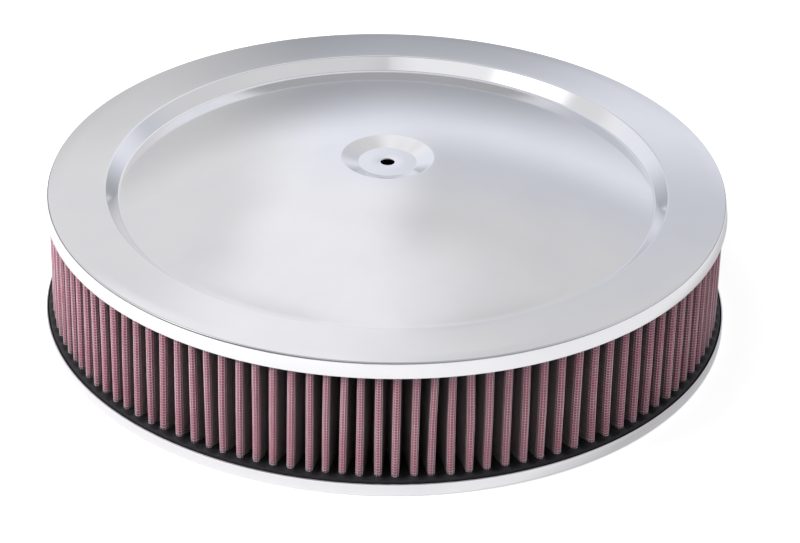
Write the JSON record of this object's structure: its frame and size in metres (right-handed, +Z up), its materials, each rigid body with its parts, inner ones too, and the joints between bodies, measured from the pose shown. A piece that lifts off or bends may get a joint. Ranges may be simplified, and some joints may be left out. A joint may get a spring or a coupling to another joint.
{
  "type": "carburetor air cleaner",
  "caption": "Low round air cleaner: a chrome lid and drop base with a pleated, oiled cotton ring filter between them and a central stud hole.",
  "frame": {"origin": "centre of the underside of the base, where the part rests", "axes": "+Z up along the stud axis, through the centre of the lid; the part is turned about it, so +X and +Y are any two radii"},
  "size_m": [0.362, 0.362, 0.0913],
  "materials": {
    "chrome_lid": "bright chrome plate on pressed steel",
    "chrome_base": "bright chrome plate on pressed steel",
    "urethane_seal": "moulded black urethane, slightly glossy",
    "cotton": "layered cotton gauze, oiled dark red",
    "wire_screen": "fine woven wire under red oil",
    "foam_gasket": "matt closed-cell foam"
  },
  "bodies": {
    "root": {"top_lid": "chrome_lid", "base_pan": "chrome_base", "upper_seal": "urethane_seal", "lower_seal": "urethane_seal", "cotton_media": "cotton", "outer_wire_screen": "wire_screen", "inner_wire_screen": "wire_screen", "neck_gasket": "foam_gasket"}
  },
  "joints": []
}
